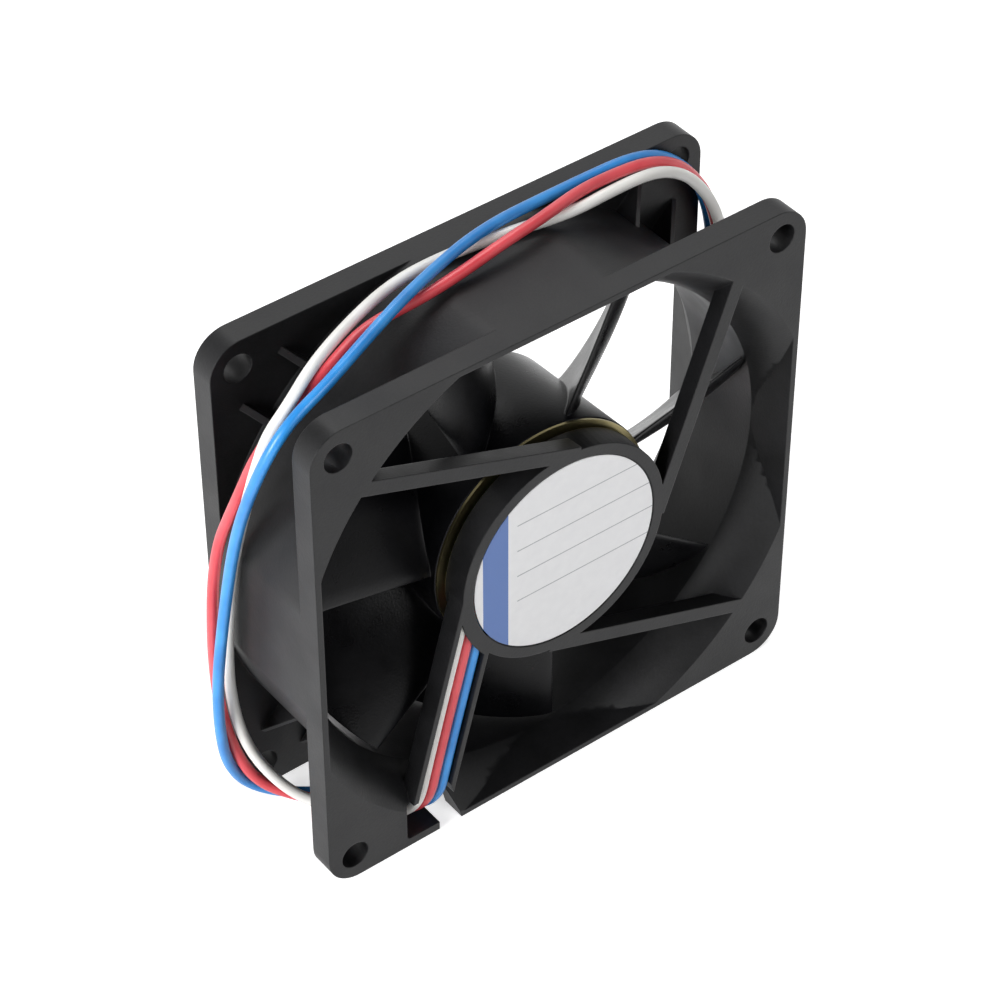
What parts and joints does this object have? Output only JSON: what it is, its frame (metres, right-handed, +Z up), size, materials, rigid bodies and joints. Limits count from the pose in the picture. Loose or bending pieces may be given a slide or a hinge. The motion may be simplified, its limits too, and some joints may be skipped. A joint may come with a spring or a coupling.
{
  "type": "axial cooling fan",
  "caption": "Square axial cooling fan with a ball-bearing rotor, tangent struts and three loose leads wrapped round its frame.",
  "frame": {"origin": "middle of the housing, on the rotor's axis, halfway between the two mounting faces", "axes": "+Y along the rotor's axis, from the label and struts towards the intake; +Z up, square to a side of the housing; +X across"},
  "size_m": [0.0919, 0.0503, 0.0836],
  "materials": {
    "housing_plastic": "moulded glass-filled polyester, matte charcoal with a faint bloom",
    "impeller_plastic": "moulded glass-filled polyester, slightly smoother than the housing",
    "label_paper": "printed self-adhesive film, white with a blue band",
    "board_resin": "glass-epoxy board with green solder resist",
    "chip_resin": "moulded epoxy packages with tinned ends",
    "lamination_steel": "stacked electrical steel sheets",
    "insulator_nylon": "natural nylon moulding",
    "winding_copper": "enamelled copper wire, wound in layers",
    "bearing_steel": "ground bearing steel",
    "shaft_steel": "ground stainless rod",
    "spring_steel": "drawn spring wire",
    "bush_brass": "turned brass",
    "yoke_steel": "deep-drawn steel, yellow passivated zinc",
    "magnet_ferrite": "plastic-bonded ferrite ring",
    "lead_white_pvc": "extruded soft PVC insulation, white",
    "lead_red_pvc": "extruded soft PVC insulation, red",
    "lead_blue_pvc": "extruded soft PVC insulation, blue",
    "tinned_copper": "tinned stranded copper"
  },
  "bodies": {
    "housing": {"housing_frame": "housing_plastic", "label": "label_paper", "circuit_board": "board_resin", "winding_pins": "tinned_copper", "driver_chip": "chip_resin", "capacitors": "chip_resin", "hall_sensor": "chip_resin", "stator_core": "lamination_steel", "front_insulator": "insulator_nylon", "rear_insulator": "insulator_nylon", "winding_1": "winding_copper", "winding_2": "winding_copper", "winding_3": "winding_copper", "winding_4": "winding_copper", "front_bearing_outer_ring": "bearing_steel", "front_bearing_shields": "bearing_steel", "rear_bearing_outer_ring": "bearing_steel", "rear_bearing_shields": "bearing_steel", "lead_white": "lead_white_pvc", "lead_red": "lead_red_pvc", "lead_blue": "lead_blue_pvc", "lead_white_tip": "tinned_copper", "lead_red_tip": "tinned_copper", "lead_blue_tip": "tinned_copper", "solder_white": "tinned_copper", "solder_red": "tinned_copper", "solder_blue": "tinned_copper"},
    "rotor": {"impeller": "impeller_plastic", "rotor_yoke": "yoke_steel", "magnet_ring": "magnet_ferrite", "shaft": "shaft_steel", "shaft_bush": "bush_brass", "preload_spring": "spring_steel", "retaining_ring": "spring_steel", "front_bearing_inner_ring": "bearing_steel", "rear_bearing_inner_ring": "bearing_steel"},
    "front_ball_set": {"front_bearing_balls": "bearing_steel", "front_bearing_cage": "bearing_steel"},
    "rear_ball_set": {"rear_bearing_balls": "bearing_steel", "rear_bearing_cage": "bearing_steel"}
  },
  "joints": [
    {"name": "rotor_spin", "type": "hinge", "parent": "housing", "child": "rotor", "pos_m": [0, 0, 0], "axis": [0, 1, 0], "continuous": true},
    {"name": "front_balls_roll", "type": "hinge", "parent": "housing", "child": "front_ball_set", "pos_m": [0, -0.008, 0], "axis": [0, 1, 0], "continuous": true},
    {"name": "rear_balls_roll", "type": "hinge", "parent": "housing", "child": "rear_ball_set", "pos_m": [0, 0.0044, 0], "axis": [0, 1, 0], "continuous": true}
  ]
}
